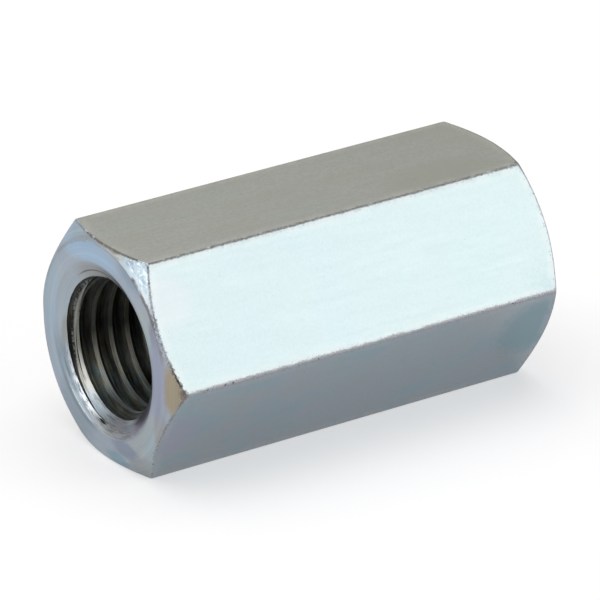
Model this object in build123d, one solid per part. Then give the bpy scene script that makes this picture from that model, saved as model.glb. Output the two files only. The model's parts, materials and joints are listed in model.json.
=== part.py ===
from build123d import *
from math import cos, pi, radians, tan
import os

# A long hexagonal coupling nut, one solid piece of steel. It lies on a flat with
# its thread along X, and the origin is on the thread's axis at half the length.
# Lengths are in millimetres and angles in degrees.

# Thread. The bore has the size that is drilled for tapping.
thread_diameter = 16.0
thread_pitch = 2.0

# Hexagon bar
flat_count = 6
across_flats = 24.0
nut_length = 48.0
arris_radius = 0.4

# Turned ends, alike at both. The chamfer's angle is measured from the end face,
# and the countersink's is the full angle of its cone.
chamfer_angle = 30.0
end_circle_inset = 0.3
countersink_angle = 120.0
countersink_overhang = 1.4
edge_break_radius = 0.15
chamfer_overrun = 1.0

# Radii measured from the thread's axis
flat_radius = across_flats / 2
corner_radius = flat_radius / cos(pi / flat_count)
bore_radius = (thread_diameter - thread_pitch) / 2
mouth_radius = thread_diameter / 2 + countersink_overhang
end_circle_radius = flat_radius - end_circle_inset
turned_radius = corner_radius + chamfer_overrun

# Distances along the axis
half_length = nut_length / 2
chamfer_depth = (turned_radius - end_circle_radius) * tan(radians(chamfer_angle))
countersink_depth = (mouth_radius - bore_radius) / tan(radians(countersink_angle / 2))
wall_length = nut_length - 2 * countersink_depth


def turned_blank():
    # The section on one side of the axis. Over one end it runs from the bore up the
    # countersink, across the flat ring and back along the chamfer, which is carried
    # past the corners of the hexagon. The other end mirrors it.
    far_end = [
        (half_length - countersink_depth, bore_radius),
        (half_length, mouth_radius),
        (half_length, end_circle_radius),
        (half_length - chamfer_depth, turned_radius),
    ]
    near_end = [(-x, radius) for x, radius in reversed(far_end)]
    section = make_face(Polyline(*far_end, *near_end, close=True))
    # Both edges of each flat ring are broken slightly
    ring_corners = section.vertices().group_by(Axis.X)
    section = fillet(ring_corners[0] + ring_corners[-1], edge_break_radius)
    return revolve(section, Axis.X)


def hexagon_bar():
    # Flats lie above and below the axis, and the rolled corners have a small radius.
    # The bar is longer than the nut, so that the turned faces trim its ends.
    hexagon = RegularPolygon(flat_radius, flat_count, major_radius=False)
    hexagon = fillet(hexagon.vertices(), arris_radius)
    return extrude(Plane.YZ * hexagon, nut_length, both=True)


# Where the chamfer's cone meets the flats it leaves an arc on each of them
coupling_nut = hexagon_bar() & turned_blank()
coupling_nut.label = "coupling_nut"

os.makedirs("parts", exist_ok=True)
export_step(coupling_nut, "parts/coupling_nut.step")
print("bore radius", bore_radius, "wall length", round(wall_length, 3))
print("volume", round(coupling_nut.volume, 1), "box", coupling_nut.bounding_box().size)
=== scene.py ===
# Looks for a zinc plated coupling nut: drawn flats, turned ends and a tapped bore.
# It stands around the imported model, in metres, with the thread along X.
import json
from functools import partial, reduce
from math import atan2, cos, pi, radians, sin, sqrt, tan

import bmesh
import bpy
from mathutils import Matrix, Vector


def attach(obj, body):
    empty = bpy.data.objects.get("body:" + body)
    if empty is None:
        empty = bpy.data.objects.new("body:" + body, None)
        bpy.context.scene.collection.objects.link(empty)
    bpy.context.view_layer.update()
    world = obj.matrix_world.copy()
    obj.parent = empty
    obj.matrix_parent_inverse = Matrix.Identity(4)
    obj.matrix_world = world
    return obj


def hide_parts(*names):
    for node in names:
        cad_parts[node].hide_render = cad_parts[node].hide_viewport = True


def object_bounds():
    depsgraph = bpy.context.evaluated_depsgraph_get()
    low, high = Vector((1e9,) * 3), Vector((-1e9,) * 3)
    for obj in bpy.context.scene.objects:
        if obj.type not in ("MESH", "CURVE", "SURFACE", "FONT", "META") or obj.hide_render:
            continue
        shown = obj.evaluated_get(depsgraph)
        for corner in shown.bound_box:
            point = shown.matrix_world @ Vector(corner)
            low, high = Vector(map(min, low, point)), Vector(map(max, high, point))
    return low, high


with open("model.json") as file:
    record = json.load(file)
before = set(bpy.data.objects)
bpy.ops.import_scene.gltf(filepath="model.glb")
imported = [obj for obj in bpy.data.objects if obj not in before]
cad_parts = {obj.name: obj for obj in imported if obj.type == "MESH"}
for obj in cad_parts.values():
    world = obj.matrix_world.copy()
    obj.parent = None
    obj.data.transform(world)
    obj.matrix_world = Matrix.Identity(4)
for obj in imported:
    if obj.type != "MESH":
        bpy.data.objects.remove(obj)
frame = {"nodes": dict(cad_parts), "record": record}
cadLow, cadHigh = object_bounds()
print("frame loaded:", sorted(frame["nodes"]))

mm = 0.001
halfLength = cadHigh.x
flatRadius = cadHigh.z
mounts = {mount["name"]: mount for mount in frame["record"]["mounts"]}
boreRadius = mounts["thread_minus_x"]["dims"]["r_mm"] * mm

# Kinds of socket: those that inputs name, those of plain numbers, and those that results have
arrow, hue = "NodeSocketVector", "NodeSocketColor"
shape, finish = "NodeSocketGeometry", "NodeSocketMaterial"
numberKinds = {float: "NodeSocketFloat", int: "NodeSocketInt"}
resultKinds = {"VALUE": "NodeSocketFloat", "VECTOR": arrow, "RGBA": hue, "GEOMETRY": shape}


# Small helpers for making nodes and trees
def addNode(tree, kind, inputs=None, **settings):
    node = tree.nodes.new(kind)
    for name, value in settings.items():
        setattr(node, name, value)
    for key, value in (inputs or {}).items():
        socket = node.inputs[key]
        if isinstance(value, bpy.types.NodeSocket):
            tree.links.new(value, socket)
        elif socket.type == "RGBA":
            socket.default_value = (*value, 1)
        else:
            socket.default_value = value
    return node


def treeOf(*values):
    # The tree of the first value that comes from a node
    return next(value.id_data for value in values if isinstance(value, bpy.types.NodeSocket))


def calculate(operation, *values):
    return addNode(treeOf(*values), "ShaderNodeMath", dict(enumerate(values)), operation=operation).outputs[0]


add = partial(calculate, "ADD")
subtract = partial(calculate, "SUBTRACT")
multiplyAdd = partial(calculate, "MULTIPLY_ADD")
smaller = partial(calculate, "MINIMUM")
larger = partial(calculate, "MAXIMUM")
absolute = partial(calculate, "ABSOLUTE")


def multiply(*values):
    return reduce(partial(calculate, "MULTIPLY"), values)


def moveVector(operation, first, second):
    return addNode(treeOf(first), "ShaderNodeVectorMath", {0: first, 1: second},
                   operation=operation).outputs[0]


def makeVector(x, y, z):
    return addNode(treeOf(x, y, z), "ShaderNodeCombineXYZ", {0: x, 1: y, 2: z}).outputs[0]


def splitVector(vector):
    return addNode(treeOf(vector), "ShaderNodeSeparateXYZ", {0: vector}).outputs


def startGroup(name, kind, inputs):
    # Each input has its kind of socket, or the number that it starts with
    tree = bpy.data.node_groups.new(name, kind)
    for label, value in inputs.items():
        named = isinstance(value, str)
        socketType = value if named else numberKinds[type(value)]
        socket = tree.interface.new_socket(label, in_out="INPUT", socket_type=socketType)
        if not named:
            socket.default_value = value
    return tree, tree.nodes.new("NodeGroupInput").outputs


def finishGroup(tree, results):
    for label, value in results.items():
        tree.interface.new_socket(label, in_out="OUTPUT", socket_type=resultKinds[value.type])
    output = tree.nodes.new("NodeGroupOutput")
    for label, value in results.items():
        tree.links.new(value, output.inputs[label])
    return tree


def keepResult(piece):
    # Leaves the evaluated shape as the piece's plain mesh
    evaluated = piece.evaluated_get(bpy.context.evaluated_depsgraph_get())
    mesh = bpy.data.meshes.new_from_object(evaluated)
    piece.modifiers.clear()
    piece.data = mesh


def applyTree(piece, tree, values):
    modifier = piece.modifiers.new(tree.name, "NODES")
    modifier.node_group = tree
    sockets = tree.interface.items_tree
    for name, value in values.items():
        modifier[sockets[name].identifier] = value
    keepResult(piece)
    marks = piece.data.attributes
    marks.remove(marks["cut"])
    print(tree.name, "done:", len(piece.data.polygons), "faces")


# The blank: hexagon bar with turned, chamfered and countersunk ends and a pilot hole
blank = {
    "arrisRadius": 0.4 * mm,
    "chamferAngle": 30,  # from the end face
    "endCircleInset": 0.3 * mm,
    "countersinkAngle": 120,  # the whole cone
    "mouthRadius": 9.4 * mm,
    "pilotRadius": 6.0 * mm,
    "mouthBreak": 0.7 * mm,  # roundings: at the countersink, the end circle and the flats
    "ringBreak": 0.15 * mm,
    "chamferBreak": 0.22 * mm,
    "stepsPerFlat": 24,
    "stepsPerArris": 6,
    "stepsPerBreak": 4,
}
endCircleRadius = flatRadius - blank["endCircleInset"]
arrisCentre = (flatRadius - blank["arrisRadius"]) / cos(pi / 6)
cornerRadius = arrisCentre + blank["arrisRadius"]
chamferSlope = tan(radians(blank["chamferAngle"]))
countersinkSlope = 1 / tan(radians(blank["countersinkAngle"] / 2))


def hexagonAngles():
    # Angles from +Y at which the section is cut: close together round each corner
    half = (flatRadius - blank["arrisRadius"]) * tan(pi / 6)
    flatHalf = atan2(half, flatRadius)
    angles = []
    for side in range(6):
        middle = pi / 6 + side * pi / 3
        for step in range(blank["stepsPerFlat"]):
            angles.append(middle + flatHalf * (2 * step / blank["stepsPerFlat"] - 1))
        corner = middle + pi / 6
        for step in range(blank["stepsPerArris"]):
            angles.append(corner + (pi / 6 - flatHalf) * (2 * step / blank["stepsPerArris"] - 1))
    return angles


def hexagonRadius(angle):
    # Distance from the axis to the hexagon with its rolled corners
    fromFlat = abs((angle % (pi / 3)) - pi / 6)
    plain = flatRadius / cos(fromFlat)
    fromCorner = pi / 6 - fromFlat
    inside = blank["arrisRadius"] ** 2 - (arrisCentre * sin(fromCorner)) ** 2
    if inside <= 0:
        return plain
    return min(plain, arrisCentre * cos(fromCorner) + sqrt(inside))


def roundedCorner(before, corner, after, radius):
    # Points of the arc that rounds a corner of the section
    toBefore = (before - corner).normalized()
    toAfter = (after - corner).normalized()
    halfAngle = toBefore.angle(toAfter) / 2
    middle = (toBefore + toAfter).normalized()
    centre = corner + middle * (radius / sin(halfAngle))
    start = (corner + toBefore * (radius / tan(halfAngle)) - centre).normalized()
    end = (corner + toAfter * (radius / tan(halfAngle)) - centre).normalized()
    steps = blank["stepsPerBreak"]
    return [centre + start.slerp(end, step / steps) * radius for step in range(steps + 1)]


def endSection(outerRadius):
    # One end's section as (distance along the axis, radius), from the pilot hole to the flat
    innerDepth = (blank["mouthRadius"] - blank["pilotRadius"]) * countersinkSlope
    inner = Vector((halfLength - innerDepth, blank["pilotRadius"]))
    mouth = Vector((halfLength, blank["mouthRadius"]))
    rim = Vector((halfLength, endCircleRadius))
    shoulder = Vector((halfLength - (outerRadius - endCircleRadius) * chamferSlope, outerRadius))
    section = [inner]
    section += roundedCorner(inner, mouth, rim, blank["mouthBreak"])
    section += roundedCorner(mouth, rim, shoulder, blank["ringBreak"])
    section += roundedCorner(rim, shoulder, Vector((0, outerRadius)), blank["chamferBreak"])
    return section


def makeBlank(flatFinish, turnedFinish):
    columns = []
    for angle in hexagonAngles():
        end = endSection(hexagonRadius(angle))
        section = end + [Vector((-point.x, point.y)) for point in reversed(end)]
        columns.append([(p.x, p.y * cos(angle), p.y * sin(angle)) for p in section])
    rows = len(columns[0])
    flatRow = rows // 2 - 1
    vertices = [point for column in columns for point in column]
    faces, kinds = [], []
    for column in range(len(columns)):
        here = column * rows
        there = (column + 1) % len(columns) * rows
        for row in range(rows):
            above = (row + 1) % rows
            faces.append((here + row, here + above, there + above, there + row))
            kinds.append(0 if row == flatRow else 1)
    mesh = bpy.data.meshes.new("couplingNut")
    mesh.from_pydata(vertices, [], faces)
    mesh.materials.append(flatFinish)
    mesh.materials.append(turnedFinish)
    mesh.polygons.foreach_set("material_index", kinds)
    work = bmesh.new()
    work.from_mesh(mesh)
    bmesh.ops.recalc_face_normals(work, faces=work.faces)
    work.to_mesh(mesh)
    work.free()
    nut = bpy.data.objects.new("couplingNut", mesh)
    bpy.context.scene.collection.objects.link(nut)
    print("blank made:", len(faces), "faces")
    return nut


def cutAway(tree, body, tool, material):
    # Takes the tool's shape out of the body and gives the faces that it leaves their material
    marked = addNode(tree, "GeometryNodeStoreNamedAttribute", {
        "Geometry": tool, "Name": "cut", "Value": True}, data_type="BOOLEAN", domain="FACE")
    cut = addNode(tree, "GeometryNodeMeshBoolean", {
        "Mesh 1": body, "Mesh 2": marked.outputs[0]}, operation="DIFFERENCE", solver="MANIFOLD")
    isCut = addNode(tree, "GeometryNodeInputNamedAttribute", {"Name": "cut"}, data_type="BOOLEAN")
    settled = addNode(tree, "GeometryNodeRealizeInstances", {"Geometry": cut.outputs["Mesh"]})
    return addNode(tree, "GeometryNodeSetMaterial", {
        "Geometry": settled.outputs[0], "Selection": isCut.outputs["Attribute"],
        "Material": material}).outputs[0]


def placeShape(tree, geometry, **moves):
    return addNode(tree, "GeometryNodeTransform", {"Geometry": geometry, **moves}).outputs[0]


def turnToAxis(tree, geometry):
    # Turns what was made about Z to the thread's axis, so that its zero angle is at +Y
    toX = placeShape(tree, geometry, Rotation=(0.0, pi / 2, 0.0))
    return placeShape(tree, toX, Rotation=(pi / 2, 0.0, 0.0))


# The thread: a right-hand groove that follows a helix, cut together with the tapping bore
thread = {
    "Pitch": 2.0 * mm,
    "Major Radius": 8.0 * mm,
    "Minor Radius": boreRadius,
    "Crest Width": 0.5 * mm,
    "Flank Slope": tan(radians(30)),
    "Root Rounding": 0.08 * mm,
    "Groove Start": -23.84 * mm,  # where a groove's middle passes +Y
    "Lead Turns": 2,
    "Steps per Turn": 128,
}


def tapTree():
    tree, given = startGroup("tapThread", "GeometryNodeTree", {
        "Nut": shape, "Pitch": 0.002, "Major Radius": 0.008, "Minor Radius": 0.007, "Crest Width": 0.0005,
        "Flank Slope": 0.577, "Root Rounding": 0.0001, "Groove Start": 0.0, "Half Length": 0.024,
        "Lead Turns": 2, "Steps per Turn": 64, "Thread Steel": finish})

    # The groove's section: wide where it reaches into the drilled hole, and narrow at its root
    depth = subtract(given["Major Radius"], given["Minor Radius"])
    overlap = multiply(depth, 0.2)
    mouthWidth = subtract(given["Pitch"], given["Crest Width"])
    bothSlopes = multiply(given["Flank Slope"], 2.0)
    height = add(depth, overlap)
    middleRadius = multiplyAdd(height, -0.5, given["Major Radius"])
    section = addNode(tree, "GeometryNodeCurvePrimitiveQuadrilateral", {
        "Bottom Width": multiplyAdd(overlap, bothSlopes, mouthWidth), "Height": height, "Offset": 0.0,
        "Top Width": subtract(mouthWidth, multiply(depth, bothSlopes))}, mode="TRAPEZOID")
    rounded = addNode(tree, "GeometryNodeFilletCurve", {
        "Curve": section.outputs[0], "Count": 2, "Radius": given["Root Rounding"],
        "Limit Radius": True}, mode="POLY")
    outward = placeShape(tree, rounded.outputs[0], Rotation=(0.0, 0.0, -pi / 2))

    # The helix runs past both ends of the nut. Reverse makes it right-handed
    span = calculate("DIVIDE", multiply(given["Half Length"], 2.0), given["Pitch"])
    turns = add(calculate("CEIL", span), multiply(given["Lead Turns"], 2.0))
    helix = addNode(tree, "GeometryNodeCurveSpiral", {
        "Resolution": given["Steps per Turn"], "Rotations": turns, "Start Radius": middleRadius,
        "End Radius": middleRadius, "Height": multiply(turns, given["Pitch"]), "Reverse": True})
    upright = addNode(tree, "GeometryNodeSetCurveNormal", {"Curve": helix.outputs[0]}, mode="Z_UP")
    groove = addNode(tree, "GeometryNodeCurveToMesh", {
        "Curve": upright.outputs[0], "Profile Curve": outward, "Fill Caps": True})
    startHeight = subtract(given["Groove Start"], multiply(given["Lead Turns"], given["Pitch"]))
    placed = placeShape(tree, groove.outputs[0], Translation=makeVector(0.0, 0.0, startHeight))
    drill = addNode(tree, "GeometryNodeMeshCylinder", {
        "Vertices": given["Steps per Turn"], "Radius": given["Minor Radius"],
        "Depth": multiply(given["Half Length"], 3.0)}, fill_type="NGON")
    tools = addNode(tree, "GeometryNodeMeshBoolean", operation="UNION", solver="MANIFOLD")
    tree.links.new(drill.outputs["Mesh"], tools.inputs["Mesh 2"])
    tree.links.new(placed, tools.inputs["Mesh 2"])
    tool = turnToAxis(tree, tools.outputs["Mesh"])
    return finishGroup(tree, {"Nut": cutAway(tree, given["Nut"], tool, given["Thread Steel"])})


# Marks that the tap has left on the near countersink
score = {  # a spiral
    "Start Radius": 8.46 * mm, "End Radius": 7.66 * mm, "Width": 0.29 * mm, "Thinnest": 0.22,
    "Sink": 0.06 * mm, "Start Angle": radians(-88), "Sweep Angle": radians(154), "Swell Power": 1.2,
    "Steps per Turn": 240,
}
innerScore = {  # a finer one inside it
    "Start Radius": 7.75 * mm, "End Radius": 7.25 * mm, "Width": 0.07 * mm, "Thinnest": 0.05,
    "Sink": 0.0, "Start Angle": radians(-50), "Sweep Angle": radians(50), "Swell Power": 1.0,
    "Steps per Turn": 240,
}
tornStart = {  # where the thread begins
    "Start Radius": 7.0 * mm, "End Radius": 7.0 * mm, "Width": 0.9 * mm, "Thinnest": 0.05,
    "Sink": 0.0, "Start Angle": radians(12), "Sweep Angle": radians(112), "Swell Power": 2.0,
    "Steps per Turn": 160,
}
gouge = {  # short, just outside the start of the score
    "Start Radius": 8.6 * mm, "End Radius": 8.56 * mm, "Width": 0.13 * mm, "Thinnest": 0.1,
    "Sink": 0.02 * mm, "Start Angle": radians(-87.5), "Sweep Angle": radians(10.5), "Swell Power": 1.0,
    "Steps per Turn": 720,
}
scoreClimb = (score["End Radius"] - score["Start Radius"]) / score["Sweep Angle"]  # for each radian
scoreAtZero = score["Start Radius"] - score["Start Angle"] * scoreClimb


def markTree():
    # Thinnest is a share of the width, and Sink is how far a mark's middle lies under the surface.
    # With a Swell Power above 1, the mark is widest late in its sweep
    tree, given = startGroup("markMouth", "GeometryNodeTree", {
        "Nut": shape, "Start Radius": 0.008, "End Radius": 0.008, "Width": 0.0001, "Thinnest": 0.1,
        "Sink": 0.0, "Start Angle": 0.0, "Sweep Angle": 3.0, "Swell Power": 1.0, "Steps per Turn": 64,
        "Mouth Radius": 0.0094, "Half Length": 0.024, "Slope": 0.577, "Thread Steel": finish})
    inward = subtract(given["Start Radius"], given["End Radius"])
    spiral = addNode(tree, "GeometryNodeCurveSpiral", {
        "Resolution": given["Steps per Turn"], "Rotations": calculate("DIVIDE", given["Sweep Angle"], 2 * pi),
        "Start Radius": given["Start Radius"], "End Radius": given["End Radius"],
        "Height": multiply(inward, given["Slope"]), "Reverse": True})
    along = addNode(tree, "GeometryNodeSplineParameter").outputs["Factor"]
    swell = calculate("SINE", multiply(calculate("POWER", along, given["Swell Power"]), pi))
    wave = addNode(tree, "ShaderNodeTexNoise", {"Scale": 0.8 / mm, "Detail": 1.0}).outputs[0]
    uneven = multiply(swell, multiplyAdd(wave, 0.5, 0.75))
    section = addNode(tree, "GeometryNodeCurvePrimitiveCircle", {"Resolution": 10, "Radius": given["Width"]})
    swept = addNode(tree, "GeometryNodeCurveToMesh", {
        "Curve": spiral.outputs[0], "Profile Curve": section.outputs[0],
        "Scale": larger(uneven, given["Thinnest"]), "Fill Caps": True})
    fromMouth = subtract(given["Mouth Radius"], given["Start Radius"])
    depth = multiplyAdd(fromMouth, given["Slope"], given["Sink"])
    placed = placeShape(
        tree, swept.outputs[0], Translation=makeVector(0.0, 0.0, subtract(depth, given["Half Length"])),
        Rotation=makeVector(0.0, 0.0, given["Start Angle"]))
    tool = turnToAxis(tree, placed)
    return finishGroup(tree, {"Nut": cutAway(tree, given["Nut"], tool, given["Thread Steel"])})


# Handling marks: small nicks along the chamfer's arcs and the rolled corners
nicks = {
    "Count": 180,
    "Corner Share": 0.25,
    "Smallest": 0.03 * mm,
    "Largest": 0.12 * mm,
    "End Gap": 1.6 * mm,  # bare of corner nicks at each end
    "Seed": 7,
}


def nickTree():
    tree, given = startGroup("nickEdges", "GeometryNodeTree", {
        "Nut": shape, "Count": 100, "Corner Share": 0.5, "Smallest": 0.0001, "Largest": 0.0002,
        "End Gap": 0.001, "Seed": 1, "Flat Radius": 0.012, "Corner Radius": 0.0138,
        "End Circle Radius": 0.0117, "Half Length": 0.024, "Slope": 0.577, "Bruised Steel": finish})
    order = iter(range(20))

    def draw(low, high):
        # A number for each nick, from a seed of its own
        seed = add(given["Seed"], float(next(order)))
        return addNode(tree, "FunctionNodeRandomValue", {2: low, 3: high, "Seed": seed},
                       data_type="FLOAT").outputs[1]

    def choose(share, first, second):
        return multiplyAdd(share, subtract(second, first), first)

    # A place on one of the arcs, or else on one of the corners
    side = calculate("FLOOR", draw(0.0, 5.999))
    swing = multiply(draw(-1.0, 1.0), pi / 6)
    cornerTurn = multiply(side, pi / 3)
    arcTurn = add(add(cornerTurn, pi / 6), swing)
    arcRadius = calculate("DIVIDE", given["Flat Radius"], calculate("COSINE", swing))
    arcDepth = multiply(subtract(arcRadius, given["End Circle Radius"]), given["Slope"])
    arcX = multiply(subtract(given["Half Length"], arcDepth), calculate("SIGN", draw(-1.0, 1.0)))
    cornerX = multiply(subtract(given["Half Length"], given["End Gap"]), draw(-1.0, 1.0))
    onCorner = calculate("LESS_THAN", draw(0.0, 1.0), given["Corner Share"])
    turn = choose(onCorner, arcTurn, cornerTurn)
    radius = choose(onCorner, arcRadius, given["Corner Radius"])
    place = makeVector(choose(onCorner, arcX, cornerX), multiply(radius, calculate("COSINE", turn)),
                       multiply(radius, calculate("SINE", turn)))
    points = addNode(tree, "GeometryNodePoints", {"Count": given["Count"], "Position": place})

    # An uneven stone for each place, turned at random
    stone = addNode(tree, "GeometryNodeMeshIcoSphere", {"Radius": 1.0, "Subdivisions": 2})
    size = draw(given["Smallest"], given["Largest"])
    length = multiply(size, draw(0.9, 2.2))
    breadth = multiply(size, draw(0.6, 1.3))
    stones = addNode(tree, "GeometryNodeInstanceOnPoints", {
        "Points": points.outputs[0], "Instance": stone.outputs[0],
        "Rotation": makeVector(draw(-pi, pi), draw(-pi, pi), draw(-pi, pi)),
        "Scale": makeVector(length, breadth, size)})
    return finishGroup(tree, {
        "Nut": cutAway(tree, given["Nut"], stones.outputs[0], given["Bruised Steel"])})


# Effects that are used more than once are groups. Their lengths are in millimetres
def rescale(value, fromLow, fromHigh, toLow=0.0, toHigh=1.0):
    return addNode(treeOf(value), "ShaderNodeMapRange", {
        "Value": value, "From Min": fromLow, "From Max": fromHigh, "To Min": toLow, "To Max": toHigh},
        interpolation_type="SMOOTHSTEP").outputs[0]


def fade(value, low, high):
    # From 1 at the low end down to 0 at the high end
    return rescale(value, low, high, 1.0, 0.0)


def mixColours(share, first, second, blend="MIX"):
    return addNode(treeOf(share, first, second), "ShaderNodeMix", {0: share, 6: first, 7: second},
                   data_type="RGBA", blend_type=blend).outputs[2]


def tinted(colour, tint, share=1.0):
    return mixColours(share, colour, tint, "MULTIPLY")


def noise(vector, scale, detail=2.0, roughness=0.5):
    return addNode(treeOf(vector), "ShaderNodeTexNoise", {
        "Vector": vector, "Scale": scale, "Detail": detail, "Roughness": roughness}).outputs[0]


def addRamp(value, stops):
    node = addNode(treeOf(value), "ShaderNodeValToRGB", {0: value})
    marks = node.color_ramp.elements
    while len(marks) < len(stops):
        marks.new(0.5)
    for mark, (position, colour) in zip(marks, stops):
        mark.position = position
        mark.color = (*colour, 1)
    return node.outputs[0]


def useGroup(tree, name, inputs=None):
    return addNode(tree, "ShaderNodeGroup", inputs, node_tree=bpy.data.node_groups[name]).outputs


def placesGroup():
    # Where a point lies on the nut: its radius, and how far it is from each kind of edge
    tree, given = startGroup("nutPlaces", "ShaderNodeTree", {
        "Half Length": halfLength / mm, "Flat Radius": flatRadius / mm,
        "End Circle Radius": endCircleRadius / mm, "Mouth Radius": blank["mouthRadius"] / mm,
        "Chamfer Angle": radians(blank["chamferAngle"])})
    place = addNode(tree, "ShaderNodeTexCoord").outputs["Object"]
    scaled = addNode(tree, "ShaderNodeVectorMath", {0: place, "Scale": 1 / mm}, operation="SCALE")
    position = scaled.outputs[0]
    x, y, z = splitVector(position)
    radius = calculate("SQRT", multiplyAdd(y, y, multiply(z, z)))

    # The nearest flat and the next one, and then the chamfer's cone
    nearest, second = 100.0, 100.0
    for turn in (pi / 6, pi / 2, 5 * pi / 6):
        across = multiplyAdd(y, cos(turn), multiply(z, sin(turn)))
        inside = subtract(given["Flat Radius"], absolute(across))
        second = smaller(second, larger(nearest, inside))
        nearest = smaller(nearest, inside)
    fromEnd = subtract(given["Half Length"], absolute(x))
    fromCircle = subtract(given["End Circle Radius"], radius)
    cone = add(multiply(fromEnd, calculate("COSINE", given["Chamfer Angle"])),
               multiply(fromCircle, calculate("SINE", given["Chamfer Angle"])))
    return finishGroup(tree, {
        "Position": position, "Along": x, "Across": y, "Height": z, "Radius": radius,
        "Turned": makeVector(radius, calculate("DIVIDE", y, radius), calculate("DIVIDE", z, radius)),
        "Near": calculate("LESS_THAN", x, 0.0), "Arris": second, "Arc": larger(cone, nearest),
        "End Circle": larger(absolute(fromCircle), fromEnd),
        "Mouth": larger(absolute(subtract(given["Mouth Radius"], radius)), fromEnd)})


def wornEdgeGroup():
    # A ragged line along an edge, faint where the gaps fall
    tree, given = startGroup("wornEdge", "ShaderNodeTree", {
        "Position": arrow, "Distance": 0.0, "Width": 0.2, "Raggedness": 0.2, "Grain Scale": 6.0, "Gaps": 0.4})
    grit = noise(given["Position"], given["Grain Scale"], 3.0, 0.6)
    reach = add(given["Distance"], multiply(subtract(grit, 0.5), given["Raggedness"]))
    line = fade(reach, multiply(given["Width"], 0.4), given["Width"])
    patches = noise(given["Position"], multiply(given["Grain Scale"], 0.15), 2.0)
    broken = rescale(subtract(patches, given["Gaps"]), -0.06, 0.06, 0.3, 1.0)
    mask = multiply(line, broken)
    fine = noise(given["Position"], multiply(given["Grain Scale"], 2.2), 1.0)
    return finishGroup(tree, {
        "Mask": mask, "Specks": multiply(mask, rescale(grit, 0.54, 0.62)),
        "Grit": rescale(fine, 0.36, 0.64, 0.7, 1.45)})


# Colours of the worn edges, from the bottom of the nut up: real wear, and painted shade that keeps the
# rounded edges dark where they would catch the light
wornAndShadedColours = {
    "nearEnd": [
        (0.36, (0.54, 0.54, 0.51)), (0.49, (0.42, 0.35, 0.30)), (0.52, (0.14, 0.13, 0.12)),
        (0.56, (0.08, 0.08, 0.078)), (0.60, (0.24, 0.245, 0.245)), (0.66, (0.58, 0.59, 0.60)),
        (0.79, (0.42, 0.43, 0.44)), (0.85, (0.58, 0.61, 0.61)), (0.97, (0.46, 0.48, 0.475)),
        (0.985, (0.17, 0.175, 0.165))],
    "rest": [
        (0.40, (0.56, 0.60, 0.62)), (0.48, (0.60, 0.60, 0.61)), (0.53, (0.62, 0.625, 0.625)),
        (0.90, (0.55, 0.56, 0.56)), (0.985, (0.25, 0.255, 0.245))],
}


def edgeWearAndShadeGroup():
    # The worn edges' colour and width, which change from place to place; the colour is partly painted shade
    tree, given = startGroup("edgeWearAndShade", "ShaderNodeTree", {"Position": arrow, "Softening": 0.0})
    x, y, z = splitVector(given["Position"])
    share = multiplyAdd(z, 1 / 24, 0.5)
    nearEnd, rest = addRamp(share, wornAndShadedColours["nearEnd"]), addRamp(share, wornAndShadedColours["rest"])
    middle = fade(absolute(z), 0.2, 0.8)
    top = multiply(rescale(z, 10.5, 11.6), rescale(x, -22.8, -22.0))
    torn = multiply(fade(x, -21.5, -19.5), rescale(z, -2.0, 0.5), rescale(z, 7.0, 9.0, 0.6, 0.0))
    ragged = add(torn, rescale(z, 8.0, 11.6, 0.65, 0.35))
    return finishGroup(tree, {
        "Colour": mixColours(rescale(x, -22.6, -21.8), nearEnd, rest),
        "Width": multiplyAdd(middle, 0.24, multiplyAdd(top, 0.06, 0.16)),
        # Faint along the bottom and on the far side, and speckled above
        "Share": multiply(rescale(z, -11.5, -7.0), rescale(y, 1.0, 7.5, 1.0, 0.35)),
        "Speckling": multiply(rescale(z, 0.0, 5.0, 0.05, 0.5), rescale(x, -22.0, -19.0, 1.0, 0.35)),
        "Raggedness": multiplyAdd(middle, -0.25, ragged),
        "Grittiness": subtract(1.0, multiply(middle, given["Softening"]))})


def platingTintGroup():
    # Faint interference colours of the passivated zinc, in soft patches
    tree, given = startGroup("platingTint", "ShaderNodeTree", {
        "Position": arrow, "Colour": hue, "Patch Scale": 0.1, "Strength": 0.3})
    patches = noise(given["Position"], given["Patch Scale"], 2.0)
    tint = addRamp(patches, [
        (0.30, (0.76, 0.90, 1.0)), (0.42, (0.86, 0.86, 1.0)), (0.50, (0.93, 0.93, 0.95)),
        (0.58, (1.0, 0.95, 0.84)), (0.70, (0.80, 0.98, 0.96))])
    return finishGroup(tree, {"Colour": tinted(given["Colour"], tint, given["Strength"])})


def grainGroup():
    # Tool marks, drawn out where the vector is squeezed
    tree, given = startGroup("grain", "ShaderNodeTree", {
        "Vector": arrow, "Fine Scale": 6.0, "Coarse Scale": 1.2, "Coarse Share": 0.4})
    fine = noise(given["Vector"], given["Fine Scale"], 3.0, 0.6)
    coarse = noise(given["Vector"], given["Coarse Scale"], 2.0)
    return finishGroup(tree, {"Value": multiplyAdd(subtract(coarse, fine), given["Coarse Share"], fine)})


def specksGroup():
    # Small spots in a share of a random pattern's cells
    tree, given = startGroup("specks", "ShaderNodeTree", {
        "Position": arrow, "Scale": 2.0, "Size": 0.2, "Share": 0.3})
    cells = addNode(tree, "ShaderNodeTexVoronoi", {"Vector": given["Position"], "Scale": given["Scale"]})
    spot = fade(cells.outputs["Distance"], multiply(given["Size"], 0.5), given["Size"])
    chosen = calculate("LESS_THAN", splitVector(cells.outputs["Color"])[0], given["Share"])
    return finishGroup(tree, {"Mask": multiply(spot, chosen)})


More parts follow.
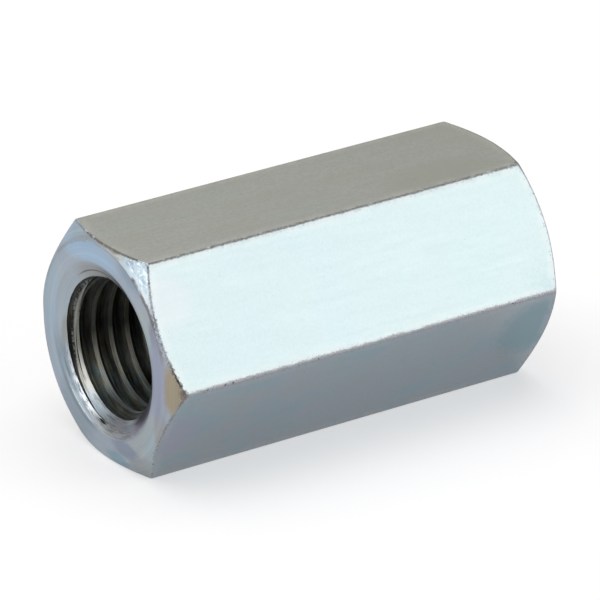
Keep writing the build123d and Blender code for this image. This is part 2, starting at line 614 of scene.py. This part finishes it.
def softPatchGroup():
    # One soft patch round a place, with a frayed border
    tree, given = startGroup("softPatch", "ShaderNodeTree", {
        "Position": arrow, "Centre": arrow, "Size": arrow, "Fraying": 0.4})
    offset = moveVector("SUBTRACT", given["Position"], given["Centre"])
    scaled = moveVector("DIVIDE", offset, given["Size"])
    distance = addNode(tree, "ShaderNodeVectorMath", {0: scaled}, operation="LENGTH").outputs["Value"]
    fray = subtract(noise(given["Position"], 1.6, 3.0, 0.6), 0.5)
    return finishGroup(tree, {"Mask": fade(multiplyAdd(fray, given["Fraying"], distance), 0.45, 1.0)})


for makeGroup in (placesGroup, edgeWearAndShadeGroup, wornEdgeGroup, platingTintGroup, grainGroup, specksGroup,
                  softPatchGroup):
    print("group made:", makeGroup().name)


def startFinish(name):
    material = bpy.data.materials.new(name)
    material.use_nodes = True
    return material, material.node_tree, material.node_tree.nodes["Principled BSDF"].inputs


def finishSurface(tree, shader, colour, roughness, metallic, height):
    # The height is in millimetres
    bump = addNode(tree, "ShaderNodeBump", {"Height": height, "Distance": mm})
    tree.links.new(colour, shader["Base Color"])
    tree.links.new(roughness, shader["Roughness"])
    tree.links.new(metallic, shader["Metallic"])
    tree.links.new(bump.outputs[0], shader["Normal"])


def patchMask(tree, position, centre, size, fraying=0.4):
    return useGroup(tree, "softPatch", {
        "Position": position, "Centre": centre, "Size": size, "Fraying": fraying})["Mask"]


def addColourPatches(tree, position, colour, colourPatches):
    # A patch has its centre, size, colour and share, and its fraying where that is unusual. Most patches are
    # stains; a few are painted shade
    for centre, size, patchColour, share, *fraying in colourPatches:
        mask = patchMask(tree, position, centre, size, *fraying)
        colour = mixColours(multiply(mask, share), colour, patchColour)
    return colour


def edgeMask(tree, position, distance, settings):
    return useGroup(tree, "wornEdge", {"Position": position, "Distance": distance, **settings})["Mask"]


def addWornAndShadedLine(tree, position, distance, colour, settings):
    # Gives the colour with the line over it, the line's share, and the share of its dark specks
    wearAndShade = useGroup(tree, "edgeWearAndShade", {"Position": position, "Softening": settings["softening"]})
    line = useGroup(tree, "wornEdge", {
        "Position": position, "Distance": distance, "Width": multiply(wearAndShade["Width"], settings["widening"]),
        "Raggedness": wearAndShade["Raggedness"], "Grain Scale": settings["grainScale"], "Gaps": settings["gaps"]})
    share = multiply(line["Mask"], wearAndShade["Share"])
    lineColour = tinted(wearAndShade["Colour"], line["Grit"], wearAndShade["Grittiness"])
    return mixColours(share, colour, lineColour), share, multiply(line["Specks"], wearAndShade["Speckling"])


# Drawn flats: satin zinc with faint streaks along the bar and worn, ragged edges
drawnFinish = {
    "zinc": (0.625, 0.735, 0.735),
    "topTint": (1.05, 1.02, 1.02),
    # painted shade: the next colour darkens the faces below the middle
    "lowPaintedShade": (1.0, 0.94, 0.935),
    "teal": (0.51, 0.68, 0.70),
    "stretch": (0.04, 1.0, 1.0),
    "tealStretch": (0.3, 0.8, 0.8),
    "wiped": (0.53, 0.60, 0.57),
    "wipedStretch": (0.12, 0.5, 1.0),
    "waveStretch": (0.5, 1.0, 1.0),
    "topReach": (11.3, 11.9),  # heights
    "lowReach": (-1.0, 0.5),
    "fringe": (0.73, 0.77, 0.77),
    "fringeEdge": {"Width": 1.1, "Raggedness": 0.8, "Grain Scale": 3.0, "Gaps": 0.47},
    "chip": (0.38, 0.39, 0.385),
    "chips": {"Scale": 4.0, "Size": 0.5, "Share": 0.42},
    "wornAndShadedLine": {"softening": 0.5, "widening": 1.0, "grainScale": 3.6, "gaps": 0.36},
    "lineSpeck": (0.12, 0.12, 0.12),
    "speck": (0.3, 0.3, 0.29),
    "specks": {"Scale": 1.1, "Size": 0.1, "Share": 0.3},
    "roughness": (0.39, 0.42),
    "streakDepth": 0.0007,  # on top, and a share of it elsewhere
    "streakShare": 0.2,
    "waveDepth": 0.0015,
    "grit": 0.0004,
    "colourPatches": [
        ((11.3, -4.05, 12.0), (0.5, 0.07, 1), (0.25, 0.25, 0.24), 0.5),
        ((-22.0, -9.1, 8.3), (4.0, 3.0, 4.5), (0.72, 0.73, 0.74), 0.4),
        ((-22.5, -10.4, -6.0), (4.5, 3.0, 5.0), (0.63, 0.61, 0.72), 0.5),
        # painted shade: darker and bluer low on the far end
        ((22.5, -11.0, -4.0), (7.0, 4.5, 8.0), (0.37, 0.54, 0.57), 0.7),
        ((14.0, -4.5, 12.0), (9.0, 4.0, 1.0), (0.51, 0.58, 0.55), 0.5),
        ((22.95, -6.7, 12.0), (0.7, 0.6, 0.6), (0.12, 0.12, 0.11), 0.8),
    ],
}


def makeDrawnZinc():
    material, tree, shader = startFinish("drawnZinc")
    places = useGroup(tree, "nutPlaces")
    position = places["Position"]
    onTop = rescale(places["Height"], *drawnFinish["topReach"])
    below = fade(places["Height"], *drawnFinish["lowReach"])
    along = moveVector("MULTIPLY", position, drawnFinish["stretch"])
    grain = useGroup(tree, "grain", {
        "Vector": along, "Fine Scale": 6.0, "Coarse Scale": 1.5, "Coarse Share": 0.25})["Value"]
    colour = useGroup(tree, "platingTint", {
        "Position": position, "Colour": drawnFinish["zinc"], "Patch Scale": 0.09, "Strength": 0.07})["Colour"]
    mottle = noise(position, 3.2, 4.0, 0.7)
    colour = tinted(colour, rescale(mottle, 0.3, 0.7, multiplyAdd(onTop, -0.08, 0.97), 1.02))
    colour = tinted(colour, drawnFinish["topTint"], onTop)
    # Painted shade: the faces below the middle are a little darker
    colour = tinted(colour, drawnFinish["lowPaintedShade"], below)
    patches = noise(moveVector("MULTIPLY", position, drawnFinish["tealStretch"]), 0.5, 3.0, 0.6)
    patches = multiply(rescale(patches, 0.45, 0.65, 0.0, 0.5), below)
    colour = mixColours(patches, colour, drawnFinish["teal"])
    streaks = multiplyAdd(onTop, -0.2, -0.01)
    colour = tinted(colour, multiplyAdd(streaks, grain, 1.0))
    wiped = noise(moveVector("MULTIPLY", position, drawnFinish["wipedStretch"]), 0.9, 3.0)
    wiped = multiply(onTop, rescale(wiped, 0.4, 0.65), 0.3)
    colour = mixColours(wiped, colour, drawnFinish["wiped"])
    colour = addColourPatches(tree, position, colour, drawnFinish["colourPatches"])

    # Edges: a pale fringe with fine specks first, then the worn line, which is partly painted shade
    edge = smaller(places["Arris"], places["Arc"])
    fringe = edgeMask(tree, position, edge, drawnFinish["fringeEdge"])
    colour = mixColours(multiply(fringe, 0.4), colour, drawnFinish["fringe"])
    chips = useGroup(tree, "specks", {"Position": position, **drawnFinish["chips"]})["Mask"]
    awayFromEnd = rescale(places["Along"], -20.0, -12.0, 0.2, 1.0)
    chips = multiply(chips, rescale(edge, 0.15, 0.6, 0.7, 0.0), awayFromEnd)
    colour = mixColours(chips, colour, drawnFinish["chip"])
    colour, lineShare, dark = addWornAndShadedLine(tree, position, edge, colour, drawnFinish["wornAndShadedLine"])
    colour = mixColours(dark, colour, drawnFinish["lineSpeck"])
    specks = useGroup(tree, "specks", {"Position": position, **drawnFinish["specks"]})["Mask"]
    colour = mixColours(multiply(specks, 0.25), colour, drawnFinish["speck"])
    rough = larger(rescale(grain, 0.3, 0.7, *drawnFinish["roughness"]), multiply(lineShare, 0.6))

    wave = noise(moveVector("MULTIPLY", position, drawnFinish["waveStretch"]), 0.16, 1.0)
    streak = multiply(larger(onTop, drawnFinish["streakShare"]), drawnFinish["streakDepth"], grain)
    height = multiplyAdd(mottle, drawnFinish["grit"], streak)
    height = multiplyAdd(wave, drawnFinish["waveDepth"], height)
    finishSurface(tree, shader, colour, rough, multiplyAdd(lineShare, -0.5, 1.0), height)
    return material


# Turned ends: greyer zinc with circular tool marks, and the stains of the near end, with painted shade and
# painted glints in and round its countersink
turnedFinish = {
    "zinc": (0.69, 0.76, 0.78),
    "countersinkHigh": (0.60, 0.60, 0.57),
    "countersinkLeft": (0.69, 0.77, 0.79),
    "countersinkLow": (0.43, 0.49, 0.54),
    "countersinkEdge": (8.7, 9.8),  # radii
    "lowReach": (-7.0, -1.0),  # heights
    "shadedHigh": (0.05, 0.05, 0.045),  # where the countersink faces away from the light
    "shadedLow": (0.06, 0.058, 0.10),
    "shadedRim": (0.40, 0.39, 0.49),
    "inner": [  # inside the score, from the bottom up
        (0.067, (0.29, 0.35, 0.40)), (0.117, (0.31, 0.38, 0.44)), (0.183, (0.46, 0.53, 0.58)),
        (0.267, (0.60, 0.61, 0.58)), (0.37, (0.66, 0.66, 0.61)), (0.45, (0.52, 0.52, 0.48)),
        (0.542, (0.43, 0.43, 0.36)), (0.75, (0.38, 0.375, 0.31))],
    # painted shadow just inside the score, dark and paler in patches; the dark colour also shades the bore's
    # edge and draws a thin line near the top
    "scoreLine": (0.035, 0.035, 0.03),
    "topLineRadius": 8.38,
    "scoreShadowPale": (0.21, 0.22, 0.20),
    "outerShade": (0.73, 0.78, 0.82),  # low on the left, between the scrapes and the ring
    # painted glints on the scrape marks, and then the dark strokes between them
    "scrapeGlint": (0.80, 0.86, 0.90),
    "scrapeStretch": (1.0, 1.2, 1.2),
    "scratch": (0.20, 0.22, 0.25),
    "scratchRadius": 9.33,
    "pitsCentre": (-23.3, -6.7, 10.9),
    "pitsSize": (2.0, 3.4, 3.0),
    "pitsStretch": (1.0, 5.0, 5.0),
    "pitsReach": (11.9, 12.4),  # radii
    "glint": (0.74, 0.89, 0.97),
    "hollow": (0.34, 0.42, 0.54),
    "mouthLine": (0.60, 0.65, 0.67),
    "mouthEdge": {"Width": 0.2, "Raggedness": 0.2, "Grain Scale": 2.0, "Gaps": 0.5},
    "rubbed": (0.43, 0.39, 0.37),  # along the end circle
    "rubbedEdge": {"Width": 0.3, "Raggedness": 0.35, "Grain Scale": 2.6, "Gaps": 0.5},
    "wornAndShadedLine": {"softening": 0.0, "widening": 1.3, "grainScale": 4.5, "gaps": 0.4},
    "lineSpeck": (0.06, 0.065, 0.07),
    "stretch": (1.0, 0.12, 0.12),
    "roughness": (0.34, 0.44),
    "markDepth": 0.003,
    "countersinkMarkDepth": 0.005,  # more in the countersink
    "colourPatches": [
        ((-23.4, 6.3, 10.9), (3, 3.4, 3), (0.66, 0.86, 1.0), 0.95),
        ((-23.5, -5.9, 11.0), (3, 3.6, 2.8), (0.48, 0.61, 0.70), 0.85),
        ((-23.85, -10.2, 6.0), (1, 1.6, 2.9), (0.42, 0.45, 0.52), 0.85),
        ((-23.4, -12.5, 0.4), (3, 1.5, 4.0), (0.62, 0.51, 0.33), 0.9),
        ((-22.9, -13.8, 0.1), (0.9, 0.9, 0.8), (0.34, 0.24, 0.17), 0.75),
        ((-23.5, -10.6, -5.6), (3, 1.3, 6.0), (0.58, 0.57, 0.50), 0.7),
        ((-23.5, -6.6, -10.6), (3, 3.0, 2.2), (0.62, 0.66, 0.61), 0.8),
        ((-24.0, 2.0, 10.3), (2, 6.5, 2.4), (0.63, 0.83, 1.0), 0.85),
        ((-24.0, 9.8, 3.0), (2, 2.4, 7.0), (0.61, 0.76, 0.85), 0.7),
        ((-24.0, -10.4, 1.0), (2, 1.8, 7.0), (0.56, 0.60, 0.73), 0.8),
        ((-24.0, 5.6, -8.6), (2, 4.6, 4.6), (0.47, 0.57, 0.62), 0.75),
        ((-24.0, -3.9, -9.6), (2, 3.4, 1.2), (0.38, 0.44, 0.55), 0.6),
        ((-24.0, -2.4, -11.2), (2, 2.8, 0.9), (0.36, 0.58, 0.64), 0.7),
        ((-23.75, -2.3, 11.95), (1, 0.9, 0.35), (0.24, 0.25, 0.28), 0.6),
        ((-23.6, -4.7, 11.5), (1, 0.7, 0.35), (0.26, 0.36, 0.50), 0.6, 1.4),
    ],
    "countersinkMarksAndShade": [
        ((-23.4, 8.4, -1.0), (1, 0.5, 2.2), (0.54, 0.54, 0.47), 0.7),
        # painted shade: the dark purple low on the side of the countersink that faces away from the light
        ((-23.0, -6.3, -4.2), (1.2, 2.4, 2.6), (0.05, 0.048, 0.08), 0.8),
        ((-23.2, -1.8, -7.9), (1, 1.8, 0.7), (0.41, 0.42, 0.52), 0.6),
    ],
}


def besideScore(places):
    # How far outside the score a point lies, plainly and frayed, and the pattern that frays it
    turn = calculate("ARCTAN2", places["Height"], places["Across"])
    fromScore = subtract(places["Radius"], multiplyAdd(turn, scoreClimb / mm, scoreAtZero / mm))
    fray = noise(places["Position"], 2.2, 3.0, 0.6)
    return fromScore, add(fromScore, multiplyAdd(fray, 0.4, -0.2)), fray


def paintCountersink(places, colour, marks):
    # Grey above and bluer below, with a dark painted shadow just inside the score and painted shade at the
    # bore's edge
    near, across, height, radius = (places[name] for name in ("Near", "Across", "Height", "Radius"))
    fromScore, torn, fray = besideScore(places)
    low = fade(height, *turnedFinish["lowReach"])
    inside = fade(radius, *turnedFinish["countersinkEdge"])
    cone = mixColours(rescale(across, 3.5, 6.5), turnedFinish["countersinkHigh"],
                      turnedFinish["countersinkLeft"])
    cone = mixColours(low, cone, turnedFinish["countersinkLow"])
    within = multiply(near, fade(fromScore, -0.05, 0.08))
    cone = mixColours(within, cone, addRamp(multiplyAdd(height, 1 / 12, 0.75), turnedFinish["inner"]))
    cone = mixColours(rescale(radius, 7.0, 7.3, 0.2, 0.0), cone, turnedFinish["scoreLine"])
    # Painted shadow along the score, mottled dark and paler
    deep = rescale(height, -6.0, -1.5, -0.3, -0.6)
    band = multiply(rescale(torn, deep, add(deep, 0.15)), within, rescale(height, -5.5, -3.5))
    scoreShadow = mixColours(rescale(fray, 0.45, 0.6), turnedFinish["scoreLine"], turnedFinish["scoreShadowPale"])
    cone = mixColours(band, cone, scoreShadow)
    fromLine = absolute(subtract(radius, turnedFinish["topLineRadius"]))
    topLine = multiply(fade(fromLine, 0.03, 0.1), rescale(height, 6.0, 7.5), 0.7)
    cone = mixColours(topLine, cone, turnedFinish["scoreLine"])

    # The side that faces away from the light
    shaded = mixColours(low, turnedFinish["shadedHigh"], turnedFinish["shadedLow"])
    shaded = mixColours(multiply(low, rescale(radius, 7.9, 8.6)), shaded, turnedFinish["shadedRim"])
    shadeShare = fade(across, multiplyAdd(low, -2.0, -4.0), multiplyAdd(low, -2.5, -0.5))
    cone = mixColours(multiply(shadeShare, near), cone, shaded)
    colour = mixColours(inside, colour, cone)
    outer = multiply(rescale(fromScore, 0.35, 0.6), rescale(across, 1.0, 3.5), near,
                     fade(radius, 9.6, 10.1), fade(height, -3.5, 0.5))
    colour = tinted(colour, turnedFinish["outerShade"], outer)

    # Circular marks, strongest low in the countersink
    deeper = multiply(low, inside)
    colour = tinted(colour, rescale(marks, 0.3, 0.7, multiplyAdd(deeper, -0.26, 0.92), 1.07))
    rings = rescale(noise(places["Turned"], 3.0, 3.0, 0.6), 0.40, 0.56, 0.68, 1.2)
    return tinted(colour, rings, larger(multiply(deeper, near), multiply(within, 0.6)))


def paintScrapeGlints(places, colour):
    # Painted glints low on the left, just outside the score: bright strokes on the scrape marks with dark
    # ones between, and a fine scratch near the mouth painted bright
    height = places["Height"]
    fromScore, torn, fray = besideScore(places)
    strokes = noise(moveVector("MULTIPLY", places["Turned"], turnedFinish["scrapeStretch"]), 8.0, 3.0, 0.7)
    leftSide = multiply(places["Near"], rescale(places["Across"], 1.8, 3.5))
    glintArea = multiply(rescale(fromScore, 0.0, 0.1), fade(torn, 0.35, 0.65), leftSide,
                       fade(height, -4.5, -0.5))
    colour = mixColours(multiply(glintArea, rescale(strokes, 0.44, 0.52)), colour, turnedFinish["scrapeGlint"])
    darker = multiply(glintArea, rescale(strokes, 0.36, 0.42, 0.6, 0.0))
    colour = mixColours(darker, colour, turnedFinish["scratch"])
    fromScratch = absolute(subtract(places["Radius"], turnedFinish["scratchRadius"]))
    scratch = multiply(rescale(fromScratch, 0.02, 0.09, 0.8, 0.0), fade(height, -7.0, -6.0), leftSide,
                       rescale(fray, 0.38, 0.48))
    return mixColours(scratch, colour, turnedFinish["scrapeGlint"])


def paintPits(tree, places, colour):
    # Pits and glints on the chamfer under the top corner
    area = patchMask(tree, places["Position"], turnedFinish["pitsCentre"], turnedFinish["pitsSize"], 0.6)
    pitted = multiply(area, rescale(places["Radius"], *turnedFinish["pitsReach"]))
    pits = noise(moveVector("MULTIPLY", places["Turned"], turnedFinish["pitsStretch"]), 3.2, 4.0, 0.65)
    colour = mixColours(multiply(pitted, rescale(pits, 0.50, 0.62)), colour, turnedFinish["glint"])
    hollows = multiply(pitted, rescale(pits, 0.38, 0.45, 0.6, 0.0))
    return mixColours(hollows, colour, turnedFinish["hollow"])


def paintRims(tree, places, colour):
    # Faint wear round the mouth, and a rubbed line along the end circle
    position, across, height = places["Position"], places["Across"], places["Height"]
    mouthLine = edgeMask(tree, position, places["Mouth"], turnedFinish["mouthEdge"])
    colour = mixColours(multiply(mouthLine, 0.4), colour, turnedFinish["mouthLine"])
    rubbed = edgeMask(tree, position, places["End Circle"], turnedFinish["rubbedEdge"])
    highRight = multiply(rescale(height, 1.0, 5.0, 0.0, 1.7), rescale(across, -5.0, -2.0, 1.0, 0.6))
    rubbedShare = larger(rescale(across, -5.0, -2.0, 0.2, 1.0), highRight)
    rubbed = multiply(rubbed, rubbedShare, rescale(height, -8.0, -3.0))
    return mixColours(multiply(rubbed, 0.4), colour, turnedFinish["rubbed"]), rubbed


def makeTurnedZinc():
    material, tree, shader = startFinish("turnedZinc")
    places = useGroup(tree, "nutPlaces")
    position, height = places["Position"], places["Height"]
    around = moveVector("MULTIPLY", places["Turned"], turnedFinish["stretch"])
    marks = useGroup(tree, "grain", {
        "Vector": around, "Fine Scale": 7.0, "Coarse Scale": 1.8, "Coarse Share": 0.45})["Value"]
    colour = useGroup(tree, "platingTint", {
        "Position": position, "Colour": turnedFinish["zinc"], "Patch Scale": 0.16, "Strength": 0.4})["Colour"]
    colour = addColourPatches(tree, position, colour, turnedFinish["colourPatches"])
    colour = paintCountersink(places, colour, marks)
    colour = paintScrapeGlints(places, colour)
    # Marks, and painted shade low on the countersink's shaded side
    colour = addColourPatches(tree, position, colour, turnedFinish["countersinkMarksAndShade"])
    colour = paintPits(tree, places, colour)
    colour, rubbed = paintRims(tree, places, colour)

    # The worn line, partly painted shade, with bright chips beside the front arc and dark specks over both
    colour, lineShare, dark = addWornAndShadedLine(tree, position, places["Arc"], colour, turnedFinish["wornAndShadedLine"])
    chips = multiply(rescale(noise(position, 3.6, 3.0, 0.65), 0.52, 0.58),
                     rescale(places["Arc"], 0.2, 0.5, 0.85, 0.0), rescale(height, 2.0, 4.0),
                     fade(places["Across"], -9.0, -7.5))
    colour = mixColours(chips, colour, turnedFinish["glint"])
    colour = mixColours(dark, colour, turnedFinish["lineSpeck"])
    rough = larger(rescale(marks, 0.3, 0.7, *turnedFinish["roughness"]),
                   multiply(larger(lineShare, rubbed), 0.55))
    inside = fade(places["Radius"], *turnedFinish["countersinkEdge"])
    depth = multiplyAdd(inside, turnedFinish["countersinkMarkDepth"], turnedFinish["markDepth"])
    finishSurface(tree, shader, colour, rough, multiplyAdd(lineShare, -0.5, 1.0), multiply(marks, depth))
    return material


# Tapped thread: dull crests, and dark flanks and root, with painted shade in the grooves and painted light
# that makes both lighter towards the bottom
threadFinish = {
    "crest": [  # from the bottom of the bore up
        (0.05, (0.11, 0.135, 0.145)), (0.09, (0.26, 0.29, 0.29)), (0.14, (0.62, 0.64, 0.60)),
        (0.19, (0.90, 0.89, 0.79)), (0.26, (0.90, 0.89, 0.78)), (0.44, (0.21, 0.215, 0.18)),
        (0.62, (0.25, 0.25, 0.205))],
    "flank": [
        (0.06, (0.045, 0.055, 0.053)), (0.13, (0.10, 0.11, 0.105)), (0.20, (0.15, 0.155, 0.14)),
        (0.30, (0.07, 0.07, 0.06)), (0.42, (0.036, 0.035, 0.030)), (0.75, (0.045, 0.044, 0.036))],
    "tints": [
        (0.32, (0.66, 0.90, 1.0)), (0.44, (0.92, 0.97, 1.0)), (0.54, (1.0, 0.97, 0.82)),
        (0.66, (1.0, 0.86, 0.70))],
    "crestReach": (7.003, 7.025),
    "mouthReach": (-22.95, -22.65),
    # the next pair is painted shade below the middle and painted light above it
    "mouthShade": (0.45, 1.6),  # below and above the middle, where marks sink into the countersink
    "stretch": (1.0, 0.35, 0.35),
    "roughness": (0.38, 0.5),  # of the flanks and of the crests
    "metallic": (0.6, 0.25),
    "markDepth": 0.006,
}


def makeThreadSteel():
    material, tree, shader = startFinish("threadSteel")
    places = useGroup(tree, "nutPlaces")
    along, height = places["Along"], places["Height"]
    turn = calculate("ARCTAN2", height, places["Across"])
    fromHelix = multiplyAdd(turn, -thread["Pitch"] / mm / (2 * pi), along)
    around = moveVector("MULTIPLY", places["Turned"], threadFinish["stretch"])
    around = moveVector("ADD", around, makeVector(fromHelix, 0.0, 0.0))
    marks = useGroup(tree, "grain", {"Vector": around, "Fine Scale": 7.0, "Coarse Scale": 1.8})["Value"]
    share = multiplyAdd(height, 1 / 16, 0.5)
    tint = addRamp(noise(places["Position"], 0.9, 3.0, 0.6), threadFinish["tints"])
    flank = tinted(addRamp(share, threadFinish["flank"]), rescale(marks, 0.34, 0.66, 0.25, 2.4))
    flank = tinted(flank, tint)
    outermost = rescale(height, -2.2, 0.3, *threadFinish["mouthShade"])
    flank = tinted(flank, rescale(along, *threadFinish["mouthReach"], outermost, 1.0))
    crest = tinted(addRamp(share, threadFinish["crest"]), rescale(marks, 0.34, 0.66, 0.6, 1.3))
    crest = tinted(crest, tint, 0.5)
    onCrest = fade(places["Radius"], *threadFinish["crestReach"])
    rough = rescale(onCrest, 0.0, 1.0, *threadFinish["roughness"])
    metallic = rescale(onCrest, 0.0, 1.0, *threadFinish["metallic"])
    bumps = multiply(marks, threadFinish["markDepth"])
    finishSurface(tree, shader, mixColours(onCrest, flank, crest), rough, metallic, bumps)
    return material


# Bruised steel: the dark floor of nicks and scores
bruisedFinish = {
    "dark": (0.26, 0.25, 0.24),
    "light": (0.50, 0.49, 0.47),
    "roughness": (0.45, 0.7),
    "metallic": 0.7,
}


def makeBruisedSteel():
    material, tree, shader = startFinish("bruisedSteel")
    grit = noise(useGroup(tree, "nutPlaces")["Position"], 6.0, 3.0, 0.6)
    colour = mixColours(rescale(grit, 0.4, 0.6), bruisedFinish["dark"], bruisedFinish["light"])
    tree.links.new(colour, shader["Base Color"])
    tree.links.new(rescale(grit, 0.3, 0.7, *bruisedFinish["roughness"]), shader["Roughness"])
    shader["Metallic"].default_value = bruisedFinish["metallic"]
    return material


# What the cuts leave is cleaned and shaded
settling = {
    "closest": 0.001 * mm,  # vertices nearer together than this are merged
    "sharpAngle": radians(35),
    "smoothPair": {0, 1},  # material slots that may meet in a smooth edge
}


def settleShading(piece):
    # Edges are sharp where they turn by more than the angle, or where a cut face meets a plated one
    work = bmesh.new()
    work.from_mesh(piece.data)
    bmesh.ops.remove_doubles(work, verts=work.verts, dist=settling["closest"])
    for edge in work.edges:
        kinds = {face.material_index for face in edge.link_faces}
        alike = len(kinds) == 1 or kinds <= settling["smoothPair"]
        edge.smooth = alike and edge.calc_face_angle(pi) < settling["sharpAngle"]
    for face in work.faces:
        face.smooth = True
    work.to_mesh(piece.data)
    work.free()
    weighted = piece.modifiers.new("weightedNormals", "WEIGHTED_NORMAL")
    weighted.keep_sharp = True
    weighted.mode = "FACE_AREA"
    keepResult(piece)


bruisedSteel = makeBruisedSteel()
nut = makeBlank(makeDrawnZinc(), makeTurnedZinc())
threadSteel = makeThreadSteel()
applyTree(nut, tapTree(), {**thread, "Half Length": halfLength, "Thread Steel": threadSteel})
markMouth = markTree()
for mark in (score, innerScore, tornStart, gouge):
    applyTree(nut, markMouth, {
        **mark, "Mouth Radius": blank["mouthRadius"], "Half Length": halfLength, "Slope": countersinkSlope,
        "Thread Steel": threadSteel})
applyTree(nut, nickTree(), {
    **nicks, "Flat Radius": flatRadius, "Corner Radius": cornerRadius, "End Circle Radius": endCircleRadius,
    "Half Length": halfLength, "Slope": chamferSlope, "Bruised Steel": bruisedSteel})
print("finishes:", [material.name for material in nut.data.materials])
settleShading(nut)
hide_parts("coupling_nut")
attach(nut, "root")

# Floor, light and camera
stage = {
    "floorSize": 4.0,
    "floorSeen": (0.55, 0.55, 0.55),
    "floorSeenGlow": (0.475, 0.48, 0.485),  # keeps the background white and the shadow soft
    "floorReflected": (0.30, 0.33, 0.365),
    "floorReflectedGlow": (0.215, 0.205, 0.22),
    "frontWall": (0.34, 0.35, 0.37),
    "backWall": (0.40, 0.335, 0.28),
    "wallReach": (-0.2, 0.5),  # where the front wall's light gives way to the back wall's
    "background": (0.97, 0.97, 0.97),
}
lampDistance = 0.9
lampSettings = {
    "overheadSoftbox": {"azimuth": -150, "elevation": 76, "width": 1.3, "height": 1.3, "power": 7.6},
    "frontPanel": {"azimuth": 34, "elevation": 27, "width": 0.7, "height": 0.5, "power": 1.6},
    "leftPanel": {"azimuth": -110, "elevation": 12, "width": 0.5, "height": 0.3, "power": 0.9},
}


def towards(azimuth, elevation):
    a, e = radians(azimuth), radians(elevation)
    return Vector((sin(a) * cos(e), -cos(a) * cos(e), sin(e)))


def makeFloor():
    half = stage["floorSize"] / 2
    mesh = bpy.data.meshes.new("paleFloor")
    corners = [(-half, -half), (half, -half), (half, half), (-half, half)]
    mesh.from_pydata([(x, y, cadLow.z) for x, y in corners], [], [(0, 1, 2, 3)])
    floor = bpy.data.objects.new("paleFloor", mesh)
    bpy.context.scene.collection.objects.link(floor)
    material, tree, shader = startFinish("paleFloor")
    rays = addNode(tree, "ShaderNodeLightPath").outputs
    seen = rays["Is Camera Ray"]
    glow = mixColours(seen, stage["floorReflectedGlow"], stage["floorSeenGlow"])
    tree.links.new(mixColours(seen, stage["floorReflected"], stage["floorSeen"]), shader["Base Color"])
    tree.links.new(glow, shader["Emission Color"])
    tree.links.new(larger(seen, rays["Is Glossy Ray"]), shader["Emission Strength"])
    shader["Roughness"].default_value = 1.0
    shader["Specular IOR Level"].default_value = 0.0
    mesh.materials.append(material)


def makeLamps():
    for name, lamp in lampSettings.items():
        light = bpy.data.lights.new(name, "AREA")
        light.shape = "RECTANGLE"
        light.size = lamp["width"]
        light.size_y = lamp["height"]
        light.energy = lamp["power"]
        holder = bpy.data.objects.new(name, light)
        direction = towards(lamp["azimuth"], lamp["elevation"])
        holder.location = direction * lampDistance
        holder.rotation_euler = direction.to_track_quat("Z", "Y").to_euler()
        bpy.context.scene.collection.objects.link(holder)


def makeWorld():
    # Soft room light, warmer from behind the nut
    world = bpy.data.worlds.new("studio")
    bpy.context.scene.world = world
    world.use_nodes = True
    tree = world.node_tree
    ray = addNode(tree, "ShaderNodeTexCoord").outputs["Generated"]
    behind = rescale(splitVector(ray)["Y"], *stage["wallReach"])
    colour = mixColours(behind, stage["frontWall"], stage["backWall"])
    seen = addNode(tree, "ShaderNodeLightPath").outputs["Is Camera Ray"]
    colour = mixColours(seen, colour, stage["background"])
    tree.links.new(colour, tree.nodes["Background"].inputs["Color"])


viewpoint = {
    "azimuth": -33.2012,
    "elevation": 24.3619,
    "roll": -0.4281,
    "distance": 643.44 * mm,
    "lens": 372.29,
    "sensorWidth": 36,
    "clipStart": 0.01,
    "aimRight": -0.0136 * mm,
    "aimUp": -0.3359 * mm,
}


def makeCamera():
    back = towards(viewpoint["azimuth"], viewpoint["elevation"])
    right = Vector((0, 0, 1)).cross(back).normalized()
    up = back.cross(right)
    roll = radians(viewpoint["roll"])
    right, up = right * cos(roll) + up * sin(roll), up * cos(roll) - right * sin(roll)
    target = right * viewpoint["aimRight"] + up * viewpoint["aimUp"]
    lens = bpy.data.cameras.new("camera")
    lens.lens = viewpoint["lens"]
    lens.sensor_width = viewpoint["sensorWidth"]
    lens.clip_start = viewpoint["clipStart"]
    camera = bpy.data.objects.new("camera", lens)
    axes = Matrix((right, up, back)).transposed().to_4x4()
    camera.matrix_world = Matrix.Translation(target + back * viewpoint["distance"]) @ axes
    bpy.context.scene.collection.objects.link(camera)
    bpy.context.scene.camera = camera


makeFloor()
makeLamps()
makeWorld()
makeCamera()
bpy.context.scene.view_settings.view_transform = "Standard"
print("floor, lamps, world and camera placed")
